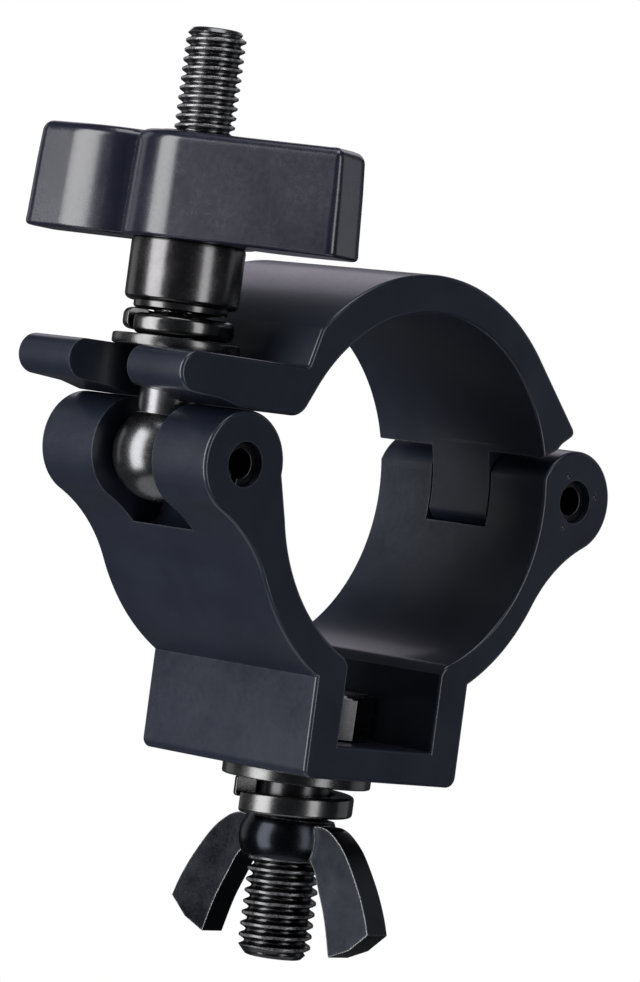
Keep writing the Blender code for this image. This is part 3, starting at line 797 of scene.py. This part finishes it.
def dark_metal(name, colour, roughness, edge_highlight_and_wear, highlight_and_wear_span=(0.80, 0.97), reach=0.25, thread=None):
    """Blackened steel: cloudy tone, fine grain, and lighter edges and thread crests, partly rubbed metal
    and partly painted highlight.
    """
    n = Nodes(name)
    coords = n.place()
    cloud = n.noise(160.0, 4.0, 0.6, coords)
    fine = n.noise(2600.0, 3.0, 0.6, coords)
    # Lighter, less metallic edges: partly rubbed metal and partly painted highlight.
    edge = n.maths("MULTIPLY", n.edges(reach, *highlight_and_wear_span), n.span(fine, 0.35, 1.0, 0.35, 0.6))
    if thread:
        # Lighter thread crests: partly rubbed metal and partly painted highlight.
        crest_highlight_and_wear = n.maths("MULTIPLY", n.crests(coords, *thread), n.span(fine, 0.3, 0.9, 0.35, 0.6))
        edge = n.maths("MAXIMUM", edge, crest_highlight_and_wear)
    base = n.mix(n.span(cloud, 0.0, 1.0, 0.35, 0.7), colour, tuple(c * 1.5 for c in colour))
    n.wire(n.mix(edge, base, edge_highlight_and_wear), n.shader.inputs["Base Color"])
    n.wire(n.maths("SUBTRACT", 1.0, n.maths("MULTIPLY", edge, 0.8)), n.shader.inputs["Metallic"])
    rough = n.span(cloud, roughness - 0.04, roughness + 0.06, 0.3, 0.7)
    n.wire(n.maths("ADD", rough, n.span(fine, -0.03, 0.04, 0.3, 0.7)), n.shader.inputs["Roughness"])
    n.wire(n.bump(fine, 0.05, 0.012), n.shader.inputs["Normal"])
    return n.mat


# ---------------------------------------------------------------- build

def dress(obj, mat, node, body):
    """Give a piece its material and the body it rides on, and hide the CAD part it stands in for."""
    obj.data.materials.clear()
    obj.data.materials.append(mat)
    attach(obj, body)
    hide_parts(node)


NAVY = (0.0095, 0.0125, 0.0230)
STEEL = (0.10, 0.10, 0.10)
PIN_STEEL = (0.05, 0.05, 0.053)
# Lighter edge colour of washers and pins: partly rubbed metal and partly painted highlight.
EDGE_HIGHLIGHT_AND_WEAR_STEEL = (0.2, 0.2, 0.2)
# axis, crest radius, lowest and highest point of each thread
M8_CRESTS = (EYE[0], M8_MAJOR_R, M8_START - 0.1, STUD_TOP + 0.3)
M10_CRESTS = (0.0, M10_MAJOR_R, BOLT_END - 25.8, M10_END - 0.3)

coat = powder_coat("powder_coat_body", NAVY, 0.33)
coat_jaw = powder_coat("powder_coat_jaw", NAVY, 0.33)
coat_knob = powder_coat("satin_coat_knob", (0.0085, 0.0095, 0.020), 0.25, ior=1.64)
# The fourth colour of each dark metal lightens its edges: partly rubbed metal and partly painted
# highlight.
oxide = dark_metal("black_oxide_sleeve", (0.095, 0.093, 0.095), 0.22, (0.08, 0.08, 0.08),
                   highlight_and_wear_span=(0.6, 0.9))
zinc = dark_metal("black_zinc_eyebolt", (0.115, 0.115, 0.12), 0.25, (0.28, 0.28, 0.29),
                  highlight_and_wear_span=(0.8, 0.97), reach=0.2, thread=M8_CRESTS)
zinc_bolt = dark_metal("black_zinc_bolt", (0.045, 0.045, 0.047), 0.25, (0.17, 0.17, 0.18),
                       highlight_and_wear_span=(0.8, 0.97), reach=0.2, thread=M10_CRESTS)
zinc_washer = dark_metal("black_zinc_washer", STEEL, 0.25, EDGE_HIGHLIGHT_AND_WEAR_STEEL)
zinc_coil = dark_metal("black_zinc_coil", STEEL, 0.2, EDGE_HIGHLIGHT_AND_WEAR_STEEL)
zinc_washer_low = dark_metal("black_zinc_washer_low", STEEL, 0.25, EDGE_HIGHLIGHT_AND_WEAR_STEEL)
zinc_coil_low = dark_metal("black_zinc_coil_low", STEEL, 0.22, EDGE_HIGHLIGHT_AND_WEAR_STEEL)
pin_steel = dark_metal("spring_pin_steel", PIN_STEEL, 0.3, EDGE_HIGHLIGHT_AND_WEAR_STEEL)
pin_steel_eye = dark_metal("spring_pin_steel_eye", PIN_STEEL, 0.3, EDGE_HIGHLIGHT_AND_WEAR_STEEL)
nut_cast = dark_metal("wing_nut_black_cast", (0.017, 0.0185, 0.023), 0.21, (0.40, 0.40, 0.40),
                      highlight_and_wear_span=(0.76, 0.96), reach=0.45)

dress(make_body(), coat, "lower_body", "lower_body")
dress(make_jaw(), coat_jaw, "upper_jaw", "upper_jaw")
dress(make_roll_pin("hinge_roll_pin", HINGE, 200.0), pin_steel, "hinge_pin", "lower_body")
dress(make_roll_pin("eye_roll_pin", EYE, 250.0), pin_steel_eye, "eyebolt_pin", "lower_body")
dress(make_eyebolt(), zinc, "eyebolt", "eyebolt")
dress(make_knob(), coat_knob, "knob_handle", "knob")
dress(make_sleeve(), oxide, "knob_sleeve", "knob")
dress(make_flat_washer("knob_washer_flat", outer=8.4, inner=4.3, bottom=FLANGE_TOP + GAP, top=16.1,
                       cx=EYE[0]), zinc_washer,
      "knob_flat_washer", "knob_washers")
dress(make_spring_washer("knob_washer_coil", outer=7.3, inner=4.3, bottom=16.1 + GAP, thick=2.75,
                         rise=0.6, cx=EYE[0], start_deg=168.0, soft=0.95), zinc_coil,
      "knob_spring_washer", "knob_washers")
dress(make_mount_bolt(), zinc_bolt, "mount_bolt", "lower_body")
dress(make_flat_washer("mount_washer_flat", outer=10.1, inner=5.3, bottom=-40.3,
                       top=BOX_BOTTOM - GAP, cx=0.0), zinc_washer_low,
      "mount_flat_washer", "mount_washers")
dress(make_spring_washer("mount_washer_coil", outer=8.15, inner=5.3, bottom=-45.1, thick=2.8,
                         rise=1.9, cx=0.0, start_deg=157.0, soft=0.45), zinc_coil_low,
      "mount_spring_washer", "mount_washers")
dress(make_wing_nut(), nut_cast, "wing_nut", "wing_nut")


# ---------------------------------------------------------------- stage, light, camera

FLOOR_R = 0.26
FLOOR_Z = -0.35
FLOOR_SIDES = 64
WHITE = (1.0, 1.0, 1.0)
# name, place, width and height, watts, colour; every light faces the origin
LIGHTS = (
    ("key_left", (-0.80, 0.20, 0.05), (0.48, 1.35), 11.5, WHITE),
    ("key_right", (-0.04, -0.85, 0.10), (0.28, 1.10), 3.2, WHITE),
    ("fill_right", (0.88, -0.32, 0.10), (0.60, 0.90), 0.65, (0.95, 0.96, 1.0)),
    ("overhead", (-0.10, -0.10, 0.85), (0.50, 0.50), 2.4, (0.94, 0.95, 1.0)),
    ("back_left", (-0.15, 0.85, 0.15), (0.40, 0.80), 0.5, WHITE),
    ("back_top", (0.62, 0.58, 0.52), (0.8, 0.4), 0.85, (0.92, 0.86, 1.0)),
)
CAMERA_LENS = 275.3
CAMERA_PLACE = (-0.46271, -0.47024, 0.00137)
CAMERA_FORWARD = (0.6993, 0.7148, -0.0038)
CAMERA_UP = (-0.0916, 0.0950, 0.9913)


def stage_floor():
    """A small pale disc below the clamp."""
    mesh = bpy.data.meshes.new("floor")
    ring = circle_ring(0.0, 0.0, FLOOR_R, FLOOR_Z, FLOOR_SIDES)
    mesh.from_pydata(ring, [], [tuple(range(FLOOR_SIDES))])
    obj = bpy.data.objects.new("floor", mesh)
    bpy.context.scene.collection.objects.link(obj)
    n = Nodes("floor_white")
    n.shader.inputs["Base Color"].default_value = (0.90, 0.90, 0.90, 1.0)
    n.shader.inputs["Roughness"].default_value = 0.9
    mesh.materials.append(n.mat)


def area_light(name, place, size, power, colour):
    """A rectangular light that faces the origin."""
    data = bpy.data.lights.new(name, "AREA")
    data.shape = "RECTANGLE"
    data.size, data.size_y = size
    data.energy = power
    data.color = colour
    obj = bpy.data.objects.new(name, data)
    obj.location = place
    obj.rotation_euler = (-Vector(place)).to_track_quat("-Z", "Y").to_euler()
    bpy.context.scene.collection.objects.link(obj)


def world_light():
    """A weak cool light all round, behind which the camera sees plain white."""
    world = bpy.data.worlds.new("studio")
    bpy.context.scene.world = world
    world.use_nodes = True
    tree = world.node_tree
    back = tree.nodes["Background"]
    out = tree.nodes["World Output"]
    back.inputs["Color"].default_value = (0.86, 0.9, 1.0, 1.0)
    back.inputs["Strength"].default_value = 0.055
    seen = tree.nodes.new("ShaderNodeBackground")
    seen.inputs["Color"].default_value = (1.0, 1.0, 1.0, 1.0)
    seen.inputs["Strength"].default_value = 1.0
    path = tree.nodes.new("ShaderNodeLightPath")
    mix = tree.nodes.new("ShaderNodeMixShader")
    tree.links.new(path.outputs["Is Camera Ray"], mix.inputs["Fac"])
    tree.links.new(back.outputs["Background"], mix.inputs[1])
    tree.links.new(seen.outputs["Background"], mix.inputs[2])
    tree.links.new(mix.outputs["Shader"], out.inputs["Surface"])


def camera():
    """The camera, at the viewing angle of the reference picture."""
    data = bpy.data.cameras.new("camera")
    data.sensor_fit = "HORIZONTAL"
    data.sensor_width = 36.0
    data.lens = CAMERA_LENS
    data.clip_start = 0.01
    data.clip_end = 20.0
    obj = bpy.data.objects.new("camera", data)
    forward = Vector(CAMERA_FORWARD).normalized()
    right = forward.cross(Vector(CAMERA_UP)).normalized()
    up = right.cross(forward).normalized()
    basis = Matrix((right, up, -forward)).transposed()
    obj.matrix_world = Matrix.Translation(CAMERA_PLACE) @ basis.to_4x4()
    bpy.context.scene.collection.objects.link(obj)
    bpy.context.scene.camera = obj


stage_floor()
world_light()
for light in LIGHTS:
    area_light(*light)
camera()
bpy.context.scene.view_settings.view_transform = "Standard"
